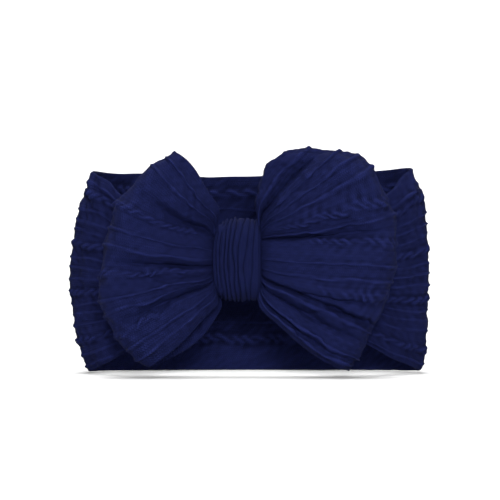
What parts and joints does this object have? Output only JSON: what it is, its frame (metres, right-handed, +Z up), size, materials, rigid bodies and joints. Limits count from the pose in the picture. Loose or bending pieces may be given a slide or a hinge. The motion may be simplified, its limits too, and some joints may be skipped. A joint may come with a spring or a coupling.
{
  "type": "bow headband",
  "caption": "Wide stretch headband of ribbed cable knit, gathered at the front under a large folded bow with a pleated centre wrap.",
  "frame": {"origin": "on the standing plane, under the middle of the overall box", "axes": "+Z up along the axis of the head loop, the bow faces -Y, +X to the right as seen from the front"},
  "size_m": [0.17, 0.0796, 0.103],
  "materials": {
    "band_knit": "matte",
    "bow_knit": "matte",
    "wrap_knit": "matte",
    "thread": "satin"
  },
  "bodies": {
    "front": {"band_front_left": "band_knit", "band_front_right": "band_knit", "band_lap_stitches": "thread", "bow_waist": "bow_knit", "bow_tie_thread": "thread", "centre_wrap": "wrap_knit", "wrap_closing_stitches": "thread"},
    "rear": {"band_back": "band_knit"},
    "left_loop": {"bow_loop_left": "bow_knit"},
    "right_loop": {"bow_loop_right": "bow_knit"}
  },
  "joints": [
    {"name": "band_stretch", "type": "slide", "parent": "front", "child": "rear", "axis": [0, 1, 0], "range_m": [0, 0.06], "stiffness_N_per_m": 60},
    {"name": "left_loop_flex", "type": "hinge", "parent": "front", "child": "left_loop", "pos_m": [-0.0176, -0.02626, 0.0534], "axis": [0, 0, 1], "range_deg": [-6, 40], "stiffness_Nm_per_rad": 0.004},
    {"name": "right_loop_flex", "type": "hinge", "parent": "front", "child": "right_loop", "pos_m": [0.0068, -0.02626, 0.0534], "axis": [0, 0, -1], "range_deg": [-6, 40], "stiffness_Nm_per_rad": 0.004}
  ]
}
